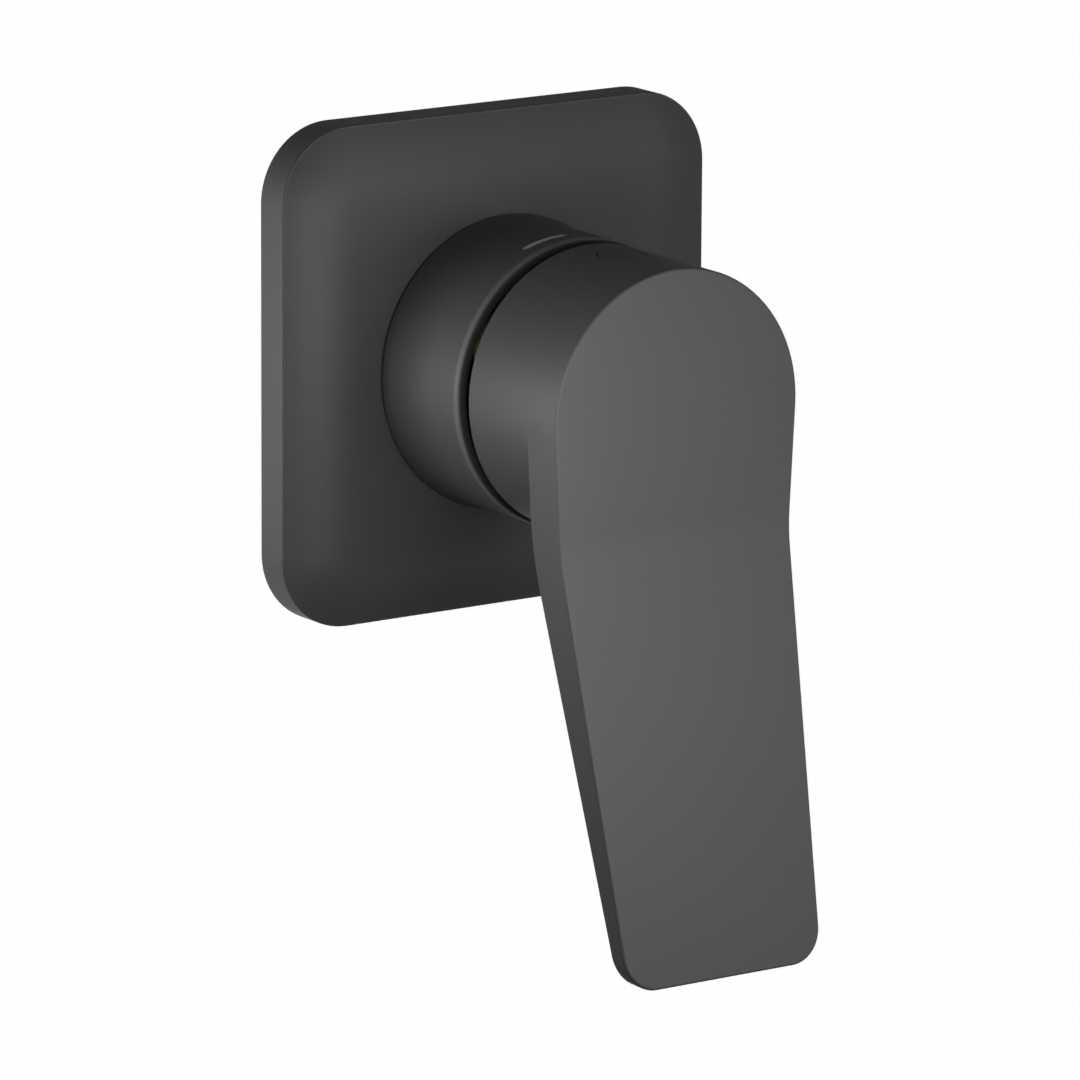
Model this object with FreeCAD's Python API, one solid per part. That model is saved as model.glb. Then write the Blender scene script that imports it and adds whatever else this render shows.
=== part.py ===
import FreeCAD, Part
import math
import os

# Concealed single-lever mixer, in millimetres.
# The mixer's axis is Y and the wall is the plane y = 0. The front faces -Y, and up is +Z.
# "Forward" is the distance in front of the wall, so a forward of 10 is y = -10.

# Cover plate
PLATE_SIDE = 78.0
PLATE_CORNER = 11.8
PLATE_RIM = 6.0
PLATE_CROWN = 2.9
PLATE_FLAT_CORNER = 0.45
PLATE_EDGE = 0.35
PLATE_WALL = 2.4
PLATE_BOSS_WALL = 3.6
GASKET_WIDTH = 4.0

# Sleeve
SLEEVE_LENGTH = 20.4
SLEEVE_WALL = 1.6
SLEEVE_THREAD_HEIGHT = 0.25
SLEEVE_LIP = 0.9
SLEEVE_LIP_INNER = 0.3
FOOT_FLARE = 0.7
FOOT_HEIGHT = 5.1
FOOT_GAP = 0.5
INDEX_LENGTH = 8.2
INDEX_WIDTH = 1.4
INDEX_DEPTH = 0.35
INDEX_FROM_FRONT = 4.1

# Lever hub
HUB_STEP = 0.4
HUB_LENGTH = 23.0
HUB_GAP = 2.3
HUB_RIM_WALL = 1.5
HUB_SIDE_WALL = 2.3
HUB_FRONT_WALL = 3.4
BOSS_RADIUS = 8.0
BOSS_RECESS = 2.6
SOCKET_DEPTH = 11.5

# Lever blade
BLADE_DROP = 84.4
BLADE_ROOT = 7.4
BLADE_TIP_HALF_WIDTH = 17.8
BLADE_CORNER = 5.5
BEND_DROP = 20.0
FACE_BEND_RADIUS = 26.0
BACK_BEND_RADIUS = 47.0
FACE_LEAN = 12.46
BACK_LEAN = 16.3
LEVER_EDGE = 0.4

# Grub screw and its plug
GRUB_RADIUS = 2.5
GRUB_LENGTH = 8.0
GRUB_KEY = 2.5
GRUB_FROM_REAR = 8.2
GRUB_WALL = 1.1
PLUG_RADIUS = 3.6
PLUG_THICKNESS = 2.6
PLUG_SEAM = 0.2
PLUG_SEAM_DEPTH = 0.55

# Spindle and its pin
SPINDLE_SIDE = 8.0
SPINDLE_NECK = 3.6
SPINDLE_CHAMFER = 0.6
FOOT_RADIUS = 2.6
FOOT_WIDTH = 7.0
FOOT_PLAY = 0.3
PIN_RADIUS = 1.5
PIN_INSET = 1.0
LIFT_ANGLE = 20.0
TURN_ANGLE = 45.0

# Cartridge
HOUSING_RADIUS = 17.5
HOUSING_WALL = 2.7
COLLAR_STEP = 3.0
COLLAR_WALL = 2.42
COLLAR_HEIGHT = 4.0
SHOULDER_ABOVE_PIN = 4.0
GUIDE_FLANGE = 3.1
GUIDE_BELOW_PIN = 4.0
GUIDE_NOSE = 0.6
RAIL_HALF_WIDTH = 6.0
SLIDER_THICKNESS = 5.5
SLIDER_FLAT = 0.4
SLIDER_FLOOR = 0.9
SLIDER_PEG = 1.2
SLIDER_PEG_FROM_EDGE = 2.7
MOVING_DISC_THICKNESS = 3.0
MOVING_DISC_LAND = 0.7
FIXED_DISC_THICKNESS = 3.2
FIXED_DISC_PLAY = 0.8
KEY_LUG_REACH = 1.2
KEY_LUG_HALF_WIDTH = 2.0
KEY_LUG_BELOW_FACE = 0.4
POCKET_DEPTH = 1.6
POCKET_RADIUS = 4.6
INLET_INNER = 5.0
INLET_OUTER = 8.2
INLET_FROM = 12.0
INLET_TO = 70.0
OUTLET_RADIUS = 3.4
BASE_HEIGHT = 7.0
BASE_FLANGE = 2.8
SNAP_FROM_FLANGE = 1.0
SNAP_HEIGHT = 1.4
SNAP_HALF_WIDTH = 3.0
PEG_RADIUS = 1.5
PEG_LENGTH = 2.4
PEG_FROM_RIM = 4.0
SEAL_WALL = 1.2
SEAL_HEIGHT = 1.2
SEAL_GAP = 0.8
LIMIT_RING_HEIGHT = 1.7
LIMIT_RING_STEP = 0.7
LIMIT_RING_WALL = 3.4
LIMIT_LUG_DEPTH = 1.0
LIMIT_LUG_WIDTH = 3.0
LIMIT_LUG_FROM_NECK = 0.9
LIMIT_LUG_FROM_RIM = 0.5

# Function unit
WELL_DEPTH = 13.0
UNIT_DEPTH = 24.0
UNIT_WALL = 3.8
BARREL_WALL = 1.75
BARREL_CHAMFER = 0.5
FLANGE_PLAY = 0.6
FLANGE_THICKNESS = 3.2
NUT_LAND = 1.3
NUT_THREAD = 5.0
NUT_HEX = 4.0
NUT_FLAT_STEP = 1.8
PORT_RADIUS = 6.0
PORT_LENGTH = 6.5
INLET_PORT_ACROSS = 8.2
INLET_PORT_DROP = 7.2
OUTLET_PORT_RISE = 9.5
INLET_DROP = 5.0
INLET_HOLE = 2.8
OUTLET_RISE = 4.6
FILTER_RADIUS = 4.85
FILTER_THICKNESS = 1.5
FILTER_RIM = 1.3
FILTER_BAR = 0.4
SCREW_RADIUS = 2.0
SCREW_NECK = 1.77
SCREW_HEAD = 4.0
SCREW_LENGTH = 12.0
SCREW_COUNT = 4
RECESS_HALF_LENGTH = 2.0
RECESS_HALF_WIDTH = 0.4
RECESS_DEPTH = 1.4
O_RING = 2.0

# Clearances
RUNNING = 0.08
SLIDING = 0.2
FILM = 0.02
SEATED = 0.05
THREAD = 0.05
LOOSE = 0.4

# Places along the axis, each worked out from the piece that it seats on
SEAT = PLATE_RIM + PLATE_CROWN
SLEEVE_FRONT = SEAT + SLEEVE_LENGTH
HUB_REAR = SLEEVE_FRONT + HUB_GAP
HUB_FRONT = HUB_REAR + HUB_LENGTH
BLADE_BACK = HUB_FRONT - BLADE_ROOT
BOSS_REAR = HUB_REAR + BOSS_RECESS
SOCKET_END = BOSS_REAR + SOCKET_DEPTH
GRUB_PLACE = HUB_REAR + GRUB_FROM_REAR

WELL_FLOOR = -WELL_DEPTH
BASE_FRONT = WELL_FLOOR + BASE_HEIGHT
FIXED_DISC_FRONT = BASE_FRONT + FIXED_DISC_THICKNESS
MOVING_DISC_REAR = FIXED_DISC_FRONT + FILM
SLIDER_REAR = MOVING_DISC_REAR + MOVING_DISC_THICKNESS
SLIDER_FRONT = SLIDER_REAR + SLIDER_THICKNESS
GUIDE_REAR = SLIDER_FRONT + SLIDING
GUIDE_SHOULDER = GUIDE_REAR + GUIDE_FLANGE
PIVOT = GUIDE_SHOULDER + GUIDE_BELOW_PIN
FOOT_CENTRE = SLIDER_REAR + SLIDER_FLOOR + FOOT_PLAY + FOOT_RADIUS
CAVITY_FRONT = GUIDE_SHOULDER + SLIDING
SHOULDER = PIVOT + SHOULDER_ABOVE_PIN
COLLAR_FRONT = SHOULDER + COLLAR_HEIGHT
HOUSING_REAR = WELL_FLOOR + BASE_FLANGE
BARREL_FRONT = SHOULDER + NUT_THREAD - LOOSE
NUT_SEAT = SHOULDER + NUT_THREAD
NUT_FRONT = NUT_SEAT + NUT_HEX
LIMIT_RING_REAR = COLLAR_FRONT + SLIDING
GUIDE_FRONT = LIMIT_RING_REAR + LIMIT_RING_HEIGHT
NOSE_FRONT = GUIDE_FRONT + GUIDE_NOSE

# Radii from the cartridge's housing outward to the sleeve and the hub
WELL_RADIUS = HOUSING_RADIUS + SLIDING
UNIT_RADIUS = WELL_RADIUS + UNIT_WALL
NUT_THREAD_RADIUS = HOUSING_RADIUS + NUT_LAND
NUT_ACROSS_FLATS = 2 * (NUT_THREAD_RADIUS - NUT_FLAT_STEP)
BARREL_RADIUS = NUT_THREAD_RADIUS + THREAD + BARREL_WALL
SLEEVE_THREAD = BARREL_RADIUS + THREAD
SLEEVE_BORE = SLEEVE_THREAD + SLEEVE_THREAD_HEIGHT
SLEEVE_RADIUS = SLEEVE_BORE + SLEEVE_WALL
HUB_RADIUS = SLEEVE_RADIUS - HUB_STEP
PLATE_BORE = BARREL_RADIUS + LOOSE
FLANGE_RADIUS = PLATE_SIDE / 2 - PLATE_WALL - GASKET_WIDTH - FLANGE_PLAY
SCREW_CIRCLE = BARREL_RADIUS + FLANGE_RADIUS
PLUG_HOLE = PLUG_RADIUS + SEATED

# Radii from the cartridge's housing inward to its discs
HOUSING_CAVITY = HOUSING_RADIUS - HOUSING_WALL
COLLAR_RADIUS = HOUSING_RADIUS - COLLAR_STEP
COLLAR_BORE = COLLAR_RADIUS - COLLAR_WALL
GUIDE_NECK = COLLAR_BORE - RUNNING
NUT_BORE = COLLAR_RADIUS + SLIDING
LIMIT_RING_RADIUS = COLLAR_RADIUS - LIMIT_RING_STEP
LIMIT_RING_BORE = LIMIT_RING_RADIUS - LIMIT_RING_WALL
SLIDE_TRAVEL = (PIVOT - FOOT_CENTRE) * math.sin(math.radians(LIFT_ANGLE))
SLIDER_RADIUS = HOUSING_CAVITY - SLIDE_TRAVEL - LOOSE
SLIDER_HALF_WIDTH = SLIDER_RADIUS - SLIDER_FLAT
FIXED_DISC_RADIUS = HOUSING_CAVITY - FIXED_DISC_PLAY
MOVING_DISC_RADIUS = FIXED_DISC_RADIUS - SLIDE_TRAVEL - MOVING_DISC_LAND
SLIDER_PEG_ACROSS = MOVING_DISC_RADIUS - SLIDER_PEG_FROM_EDGE
INLET_SPREAD = INLET_HOLE + SEAL_WALL + SEAL_GAP / 2
PIN_HALF = GUIDE_NECK - PIN_INSET


def spot(across, forward, up):
    """A point by its place across, forward of the wall, and up."""
    return FreeCAD.Vector(across, -forward, up)


def closed_wire(corners, place):
    """A closed wire through corners (a, b) or, where a corner is rounded, (a, b, radius)."""
    points = [FreeCAD.Vector(corner[0], corner[1], 0) for corner in corners]
    entries, leaves, arcs = [], [], []
    for index, here in enumerate(points):
        radius = corners[index][2] if len(corners[index]) > 2 else 0
        if radius == 0:
            entries.append(here)
            leaves.append(here)
            arcs.append(None)
            continue
        back = (points[index - 1] - here).normalize()
        ahead = (points[(index + 1) % len(points)] - here).normalize()
        half_angle = back.getAngle(ahead) / 2
        reach = radius / math.tan(half_angle)
        inward = (back + ahead).normalize()
        entries.append(here + back * reach)
        leaves.append(here + ahead * reach)
        arcs.append(here + inward * (radius / math.sin(half_angle) - radius))
    edges = []
    for index, entry in enumerate(entries):
        last_leave = leaves[index - 1]
        if (entry - last_leave).Length > 1e-6:
            edges.append(Part.LineSegment(place(last_leave), place(entry)).toShape())
        if arcs[index] is not None:
            arc = Part.Arc(place(entry), place(arcs[index]), place(leaves[index]))
            edges.append(arc.toShape())
    return Part.Wire(Part.__sortEdges__(edges))


def turned(corners, angle=360.0):
    """A solid turned about the mixer's axis from a section of (radius, forward) corners."""
    section = Part.Face(closed_wire(corners, lambda point: spot(point.x, point.y, 0)))
    return section.revolve(spot(0, 0, 0), FreeCAD.Vector(0, 1, 0), angle)


def outline_at(corners, forward):
    """A front-view outline of (across, up) corners, standing at one distance forward."""
    return closed_wire(corners, lambda point: spot(point.x, forward, point.y))


def prism(corners, rear, front):
    """A front-view outline carried from rear to front along the axis."""
    return Part.Face(outline_at(corners, rear)).extrude(spot(0, front - rear, 0))


def rod(radius, rear, front, across=0.0, up=0.0):
    """A round rod along the axis."""
    return Part.makeCylinder(radius, front - rear, spot(across, rear, up), spot(0, 1, 0))


def tube(outer, inner, rear, front, across=0.0, up=0.0):
    """A round tube along the axis."""
    return rod(outer, rear, front, across, up).cut(rod(inner, rear, front, across, up))


def block(across, rear, front, up):
    """A box from (low, high) across, rear to front, and (low, high) up."""
    size = (across[1] - across[0], front - rear, up[1] - up[0])
    return Part.makeBox(*size, FreeCAD.Vector(across[0], -front, up[0]))


def rounded_square(half, radius):
    """Corners of an upright square with rounded corners."""
    return [(half, half, radius), (-half, half, radius), (-half, -half, radius), (half, -half, radius)]


def hexagon(across_flats):
    """Corners of a hexagon with two flats upright."""
    radius = across_flats / 2 / math.cos(math.radians(30))
    angles = [math.radians(30 + 60 * step) for step in range(6)]
    return [(radius * math.cos(angle), radius * math.sin(angle)) for angle in angles]


def joined(shapes):
    """Shapes fused to one, with the seams between flush faces taken out."""
    whole = shapes[0]
    for shape in shapes[1:]:
        whole = whole.fuse(shape)
    return whole.removeSplitter()


def crown(half, corner, rear, front):
    """The plate's shoulder: even insets of its outline that rise along an arc to the flat middle."""
    steps = 5
    run = corner - PLATE_FLAT_CORNER
    full_turn = 2 * math.atan2(front - rear, run)
    arc_radius = run / math.sin(full_turn)
    sections = []
    for step in range(steps + 1):
        turn = full_turn * (1 - step / steps)
        inset = run - arc_radius * math.sin(turn)
        forward = front - arc_radius * (1 - math.cos(turn))
        sections.append(outline_at(rounded_square(half - inset, corner - inset), forward))
    return Part.makeLoft(sections, True, False)


def plate_cavity():
    """The hollow in the back of the plate, one wall inside its outer form."""
    half = PLATE_SIDE / 2 - PLATE_WALL
    corner = PLATE_CORNER - PLATE_WALL
    ceiling = PLATE_RIM - PLATE_WALL
    rim = prism(rounded_square(half, corner), 0, ceiling)
    return rim.fuse(crown(half, corner, ceiling, SEAT - PLATE_WALL)).removeSplitter()


def cover_plate():
    """Rosette: straight rim, rounded shoulder, flat middle, hollow back and a bored boss."""
    half = PLATE_SIDE / 2
    rim = prism(rounded_square(half, PLATE_CORNER), 0, PLATE_RIM)
    front_edges = [edge for edge in rim.Edges if abs(edge.CenterOfMass.y + PLATE_RIM) < 1e-6]
    rim = rim.makeFillet(PLATE_EDGE, front_edges)
    face = crown(half - PLATE_EDGE, PLATE_CORNER - PLATE_EDGE, PLATE_RIM, SEAT)
    shell = rim.fuse(face).cut(plate_cavity())
    boss = rod(PLATE_BORE + PLATE_BOSS_WALL, FLANGE_THICKNESS, SEAT - PLATE_WALL / 2)
    return joined([shell, boss]).cut(rod(PLATE_BORE, -1, SEAT + 1))


def plate_gasket():
    """Foam frame along the inside of the rim, as thick as the hollow is deep there."""
    half = PLATE_SIDE / 2 - PLATE_WALL
    corner = PLATE_CORNER - PLATE_WALL
    outer = prism(rounded_square(half, corner), 0, SEAT)
    inner_corner = corner - GASKET_WIDTH
    inner = prism(rounded_square(half - GASKET_WIDTH, inner_corner), -1, SEAT + 1)
    return outer.cut(inner).common(plate_cavity())


def o_ring_rear():
    """Rear side of the groove that holds the plate's O-ring, midway in the plate's bore."""
    return (FLANGE_THICKNESS + SEAT - O_RING) / 2


def plate_o_ring():
    """O-ring squeezed between the groove in the barrel and the plate's bore."""
    rear = o_ring_rear()
    floor = PLATE_BORE - O_RING + FILM
    rounding = 0.7
    return turned([(floor, rear + FILM, rounding), (PLATE_BORE - FILM, rear + FILM, rounding),
                   (PLATE_BORE - FILM, rear + O_RING - FILM, rounding),
                   (floor, rear + O_RING - FILM, rounding)])


def sleeve():
    """Sleeve with flared foot over a shadow gap, rounded lip, inner thread and the index dash."""
    foot = SLEEVE_RADIUS + FOOT_FLARE
    slant = math.hypot(FOOT_FLARE, FOOT_HEIGHT / 2)
    turn = math.atan2(FOOT_FLARE, FOOT_HEIGHT / 2)
    flare_radius = 0.97 * slant / math.tan(turn / 2)
    thread_end = BARREL_FRONT + LOOSE
    body = turned([(SLEEVE_THREAD, SEAT), (foot, SEAT),
                   (SLEEVE_RADIUS, SEAT + FOOT_HEIGHT / 2, flare_radius),
                   (SLEEVE_RADIUS, SLEEVE_FRONT, SLEEVE_LIP),
                   (SLEEVE_BORE, SLEEVE_FRONT, SLEEVE_LIP_INNER),
                   (SLEEVE_BORE, thread_end), (SLEEVE_THREAD, thread_end)])
    gap_end = SEAT + FOOT_GAP
    shadow_gap = rod(foot + 1, SEAT, gap_end).cut(rod(SLEEVE_RADIUS, SEAT, gap_end))
    return body.cut(shadow_gap).cut(index_groove())


def index_groove():
    """Round-bottomed groove from the top centre towards -X, with round ends."""
    half = INDEX_WIDTH / 2
    centre_radius = SLEEVE_RADIUS + half - INDEX_DEPTH
    forward = SLEEVE_FRONT - INDEX_FROM_FRONT
    start = half / SLEEVE_RADIUS
    end = (INDEX_LENGTH - half) / SLEEVE_RADIUS
    section = Part.Face(Part.Wire(Part.makeCircle(half, spot(0, forward, centre_radius),
                                                  FreeCAD.Vector(1, 0, 0))))
    turn_axis = FreeCAD.Vector(0, -1, 0)
    groove = section.revolve(spot(0, 0, 0), turn_axis, math.degrees(end - start))
    groove.rotate(spot(0, 0, 0), turn_axis, math.degrees(start))
    for end_angle in (start, end):
        centre = spot(-centre_radius * math.sin(end_angle), forward,
                      centre_radius * math.cos(end_angle))
        groove = groove.fuse(Part.makeSphere(half, centre))
    return groove


def blade():
    """Bent, tapering blade: its side profile met with its front outline."""
    face_slope = math.tan(math.radians(FACE_LEAN))
    back_slope = math.tan(math.radians(BACK_LEAN))
    low = BLADE_DROP + 10
    profile = [(HUB_FRONT, 0), (HUB_FRONT, -BEND_DROP, FACE_BEND_RADIUS),
               (HUB_FRONT + (low - BEND_DROP) * face_slope, -low),
               (BLADE_BACK + (low - BEND_DROP) * back_slope, -low),
               (BLADE_BACK, -BEND_DROP, BACK_BEND_RADIUS), (BLADE_BACK, 0)]
    wire = closed_wire(profile, lambda point: FreeCAD.Vector(-PLATE_SIDE / 2, -point.x, point.y))
    side = Part.Face(wire).extrude(FreeCAD.Vector(PLATE_SIDE, 0, 0))
    reach = math.hypot(BLADE_TIP_HALF_WIDTH, BLADE_DROP)
    tangent = math.atan2(BLADE_TIP_HALF_WIDTH, BLADE_DROP) + math.acos(HUB_RADIUS / reach)
    root_half = HUB_RADIUS * math.sin(tangent)
    root_up = -HUB_RADIUS * math.cos(tangent)
    front = prism([(root_half, root_up), (BLADE_TIP_HALF_WIDTH, -BLADE_DROP, BLADE_CORNER),
                   (-BLADE_TIP_HALF_WIDTH, -BLADE_DROP, BLADE_CORNER), (-root_half, root_up)],
                  BLADE_BACK - 1, HUB_FRONT + low)
    return side.common(front)


def face_edges(shape):
    """Edges round the lever's face: its flat, its bend and its leaning part."""
    front_faces = []
    for face in shape.Faces:
        middle = face.CenterOfMass
        u, v = face.Surface.parameter(middle)
        forward_part = -face.normalAt(u, v).y
        bend_front = HUB_FRONT - 0.5 * BLADE_ROOT
        if forward_part > 0.9 and -middle.y > bend_front:
            front_faces.append(face)
    seen = []
    for face in front_faces:
        for edge in face.Edges:
            twin = [other for other in seen if other.isSame(edge)]
            if twin:
                seen.remove(twin[0])
            else:
                seen.append(edge)
    return seen


def lever():
    """One casting: hollow hub with spindle boss and screw boss, and the blade."""
    hub = rod(HUB_RADIUS, HUB_REAR, HUB_FRONT)
    outside = joined([hub, blade()])
    outside = outside.makeFillet(LEVER_EDGE, face_edges(outside))
    ceiling = HUB_FRONT - HUB_FRONT_WALL
    hollow = turned([(0, HUB_REAR - 1), (HUB_RADIUS - HUB_RIM_WALL, HUB_REAR - 1),
                     (HUB_RADIUS - HUB_RIM_WALL, HUB_REAR),
                     (HUB_RADIUS - HUB_SIDE_WALL, ceiling, 2.0), (0, ceiling)])
    shell = outside.cut(hollow)
    boss = rod(BOSS_RADIUS, BOSS_REAR, ceiling + SEATED)
    screw_boss = Part.makeCylinder(GRUB_RADIUS + GRUB_WALL, HUB_RADIUS - HUB_RIM_WALL,
                                   spot(0, GRUB_PLACE, 0), FreeCAD.Vector(0, 0, 1))
    whole = joined([shell, boss, screw_boss])
    half = SPINDLE_SIDE / 2 + SEATED
    socket = block((-half, half), BOSS_REAR - 1, SOCKET_END, (-half, half))
    screw_hole = Part.makeCylinder(GRUB_RADIUS + THREAD, HUB_RADIUS, spot(0, GRUB_PLACE, 0),
                                   FreeCAD.Vector(0, 0, 1))
    plug_floor = HUB_RADIUS - PLUG_THICKNESS
    plug_hole = Part.makeCylinder(PLUG_HOLE, HUB_RADIUS, spot(0, GRUB_PLACE, plug_floor),
                                  FreeCAD.Vector(0, 0, 1))
    seam_floor = HUB_RADIUS - PLUG_SEAM_DEPTH
    seam = Part.makeCylinder(PLUG_HOLE + PLUG_SEAM, HUB_RADIUS, spot(0, GRUB_PLACE, seam_floor),
                             FreeCAD.Vector(0, 0, 1))
    return whole.cut(socket).cut(screw_hole).cut(plug_hole).cut(seam)


def screw_plug():
    """Push-in plug whose top carries on the hub's round surface, inside a narrow seam."""
    plug = Part.makeCylinder(PLUG_RADIUS, HUB_RADIUS, spot(0, GRUB_PLACE, HUB_RADIUS - PLUG_THICKNESS),
                             FreeCAD.Vector(0, 0, 1))
    return plug.common(rod(HUB_RADIUS, HUB_REAR, HUB_FRONT))


def grub_screw():
    """Grub screw with a hexagon socket, its point on the spindle's flat."""
    foot = SPINDLE_SIDE / 2
    body = Part.makeCylinder(GRUB_RADIUS, GRUB_LENGTH, spot(0, GRUB_PLACE, foot),
                             FreeCAD.Vector(0, 0, 1))
    low_edge = [edge for edge in body.Edges if abs(edge.CenterOfMass.z - foot) < 1e-6]
    body = body.makeChamfer(GRUB_RADIUS * 0.3, low_edge)

    def place(point):
        return spot(point.x, GRUB_PLACE + point.y, foot + GRUB_LENGTH / 2)

    key = Part.Face(closed_wire(hexagon(GRUB_KEY), place)).extrude(FreeCAD.Vector(0, 0, GRUB_LENGTH))
    return body.cut(key)


def spindle():
    """Square stem for the lever, waisted below the pin, with a round foot across."""
    half = SPINDLE_SIDE / 2
    neck = SPINDLE_NECK / 2
    stem = block((-half, half), PIVOT - half, SOCKET_END - LOOSE, (-half, half))
    front_edges = [edge for edge in stem.Edges if abs(edge.CenterOfMass.y + SOCKET_END - LOOSE) < 1e-6]
    stem = stem.makeChamfer(SPINDLE_CHAMFER, front_edges)
    foot_half = FOOT_WIDTH / 2
    arm = block((-foot_half, foot_half), FOOT_CENTRE, PIVOT, (-neck, neck))
    foot = Part.makeCylinder(FOOT_RADIUS, FOOT_WIDTH, spot(-foot_half, FOOT_CENTRE, 0),
                             FreeCAD.Vector(1, 0, 0))
    hole = Part.makeCylinder(PIN_RADIUS + RUNNING, 2 * PIN_HALF, spot(-PIN_HALF, PIVOT, 0),
                             FreeCAD.Vector(1, 0, 0))
    return joined([stem, arm, foot]).cut(hole)


def pivot_pin():
    """Steel pin across the guide."""
    return Part.makeCylinder(PIN_RADIUS, 2 * PIN_HALF, spot(-PIN_HALF, PIVOT, 0), FreeCAD.Vector(1, 0, 0))


def guide():
    """Rotating guide: neck in the collar, flange under it, two rails beside the slider."""
    neck = rod(GUIDE_NECK, GUIDE_REAR, LIMIT_RING_REAR)
    nose = rod(LIMIT_RING_BORE - SEATED, LIMIT_RING_REAR, NOSE_FRONT)
    flange_radius = HOUSING_CAVITY - 3 * SLIDING
    flange = rod(flange_radius, GUIDE_REAR, GUIDE_SHOULDER)
    rail_half = SLIDER_HALF_WIDTH + SLIDING
    rail_rear = SLIDER_REAR + SLIDING
    between = block((-rail_half, rail_half), rail_rear - 1, GUIDE_REAR, (-FLANGE_RADIUS, FLANGE_RADIUS))
    rails = rod(flange_radius, rail_rear, GUIDE_REAR).cut(between)
    rails = rails.common(block((-FLANGE_RADIUS, FLANGE_RADIUS), rail_rear, GUIDE_REAR,
                               (-RAIL_HALF_WIDTH, RAIL_HALF_WIDTH)))
    whole = joined([neck, nose, flange, rails])
    slot_half = SPINDLE_SIDE / 2 + SLIDING
    lift = math.radians(LIFT_ANGLE)
    above = NOSE_FRONT - PIVOT
    slot_up = above * math.tan(lift) + SPINDLE_SIDE / 2 / math.cos(lift) + LOOSE
    below = PIVOT - GUIDE_REAR
    slot_down = below * math.tan(lift) + SPINDLE_SIDE / 2 / math.cos(lift) + LOOSE
    slot = block((-slot_half, slot_half), GUIDE_REAR - 1, NOSE_FRONT + 1, (-slot_down, slot_up))
    return whole.cut(slot).cut(pivot_pin())


def limit_lug(extra_angle, extra):
    """The limit ring's stop lug, or the track that it runs in when the extras are given."""
    inner = GUIDE_NECK + LIMIT_LUG_FROM_NECK - extra
    outer = COLLAR_RADIUS - LIMIT_LUG_FROM_RIM + extra
    half_angle = math.degrees(LIMIT_LUG_WIDTH / 2 / outer) + extra_angle
    rear = LIMIT_RING_REAR - LIMIT_LUG_DEPTH - extra
    lug = turned([(inner, rear), (outer, rear), (outer, LIMIT_RING_REAR + extra),
                  (inner, LIMIT_RING_REAR + extra)], 2 * half_angle)
    lug.rotate(spot(0, 0, 0), FreeCAD.Vector(0, 1, 0), 90 - half_angle)
    return lug


def limit_ring():
    """Temperature limit ring on the guide, with a lug down into the collar's track."""
    ring = tube(LIMIT_RING_RADIUS, LIMIT_RING_BORE, LIMIT_RING_REAR, GUIDE_FRONT)
    return joined([ring, limit_lug(0.0, 0.0).common(rod(LIMIT_RING_RADIUS, WELL_FLOOR, GUIDE_FRONT))])


def slider():
    """Plastic carrier: flats that run between the rails, a pocket for the spindle's foot."""
    half_width = SLIDER_HALF_WIDTH
    body = rod(SLIDER_RADIUS, SLIDER_REAR, SLIDER_FRONT)
    body = body.common(block((-half_width, half_width), SLIDER_REAR, SLIDER_FRONT,
                             (-SLIDER_RADIUS, SLIDER_RADIUS)))
    pocket_up = FOOT_RADIUS + SLIDING
    pocket_across = FOOT_WIDTH / 2 + SLIDING
    pocket = block((-pocket_across, pocket_across), SLIDER_REAR + SLIDER_FLOOR, SLIDER_FRONT + 1,
                   (-pocket_up, pocket_up))
    body = body.cut(pocket)
    for side in (-1, 1):
        body = body.fuse(rod(SLIDER_PEG, SLIDER_REAR - SLIDER_PEG, SLIDER_REAR, side * SLIDER_PEG_ACROSS))
    return body.removeSplitter()


def moving_disc():
    """Upper ceramic disc: mixing pocket in its rear face, two blind holes for the slider's pegs."""
    disc = rod(MOVING_DISC_RADIUS, MOVING_DISC_REAR, SLIDER_REAR)
    pocket_front = MOVING_DISC_REAR + POCKET_DEPTH
    lower = rod(POCKET_RADIUS, MOVING_DISC_REAR - 1, pocket_front)
    upper = rod(OUTLET_RADIUS, MOVING_DISC_REAR - 1, pocket_front, 0, OUTLET_RISE)
    disc = disc.cut(lower.fuse(upper))
    for side in (-1, 1):
        disc = disc.cut(rod(SLIDER_PEG + SEATED, SLIDER_REAR - SLIDER_PEG - SEATED, SLIDER_REAR + 1,
                            side * SLIDER_PEG_ACROSS))
    return disc


def inlet_opening(side):
    """Kidney-shaped inlet of the fixed disc, on the -X or the +X side below the axis."""
    sweep = INLET_TO - INLET_FROM
    opening = turned([(INLET_INNER, BASE_FRONT - 1), (INLET_OUTER, BASE_FRONT - 1),
                      (INLET_OUTER, FIXED_DISC_FRONT + 1), (INLET_INNER, FIXED_DISC_FRONT + 1)], sweep)
    opening.rotate(spot(0, 0, 0), FreeCAD.Vector(0, 1, 0), 90 - side * (INLET_FROM + sweep / 2) - sweep / 2)
    return opening


def key_lug(side, front, extra):
    """Lug of the base that keeps the fixed disc from turning, or its notch with the extra."""
    across = sorted((side * (FIXED_DISC_RADIUS - KEY_LUG_REACH - extra), side * HOUSING_CAVITY))
    half_width = KEY_LUG_HALF_WIDTH + extra
    return block(across, BASE_FRONT, front, (-half_width, half_width))


def fixed_disc():
    """Lower ceramic disc: two inlets, one outlet, two notches on the base's lugs."""
    disc = rod(FIXED_DISC_RADIUS, BASE_FRONT, FIXED_DISC_FRONT)
    for side in (-1, 1):
        disc = disc.cut(inlet_opening(side))
        disc = disc.cut(key_lug(side, FIXED_DISC_FRONT + 1, SLIDING))
    return disc.cut(rod(OUTLET_RADIUS, BASE_FRONT - 1, FIXED_DISC_FRONT + 1, 0, OUTLET_RISE))


def port_places():
    """Across, up and hole radius of hot, cold and mixed water at the cartridge's base."""
    return [(-INLET_SPREAD, -INLET_DROP, INLET_HOLE), (INLET_SPREAD, -INLET_DROP, INLET_HOLE),
            (0, OUTLET_RISE, OUTLET_RADIUS)]


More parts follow.
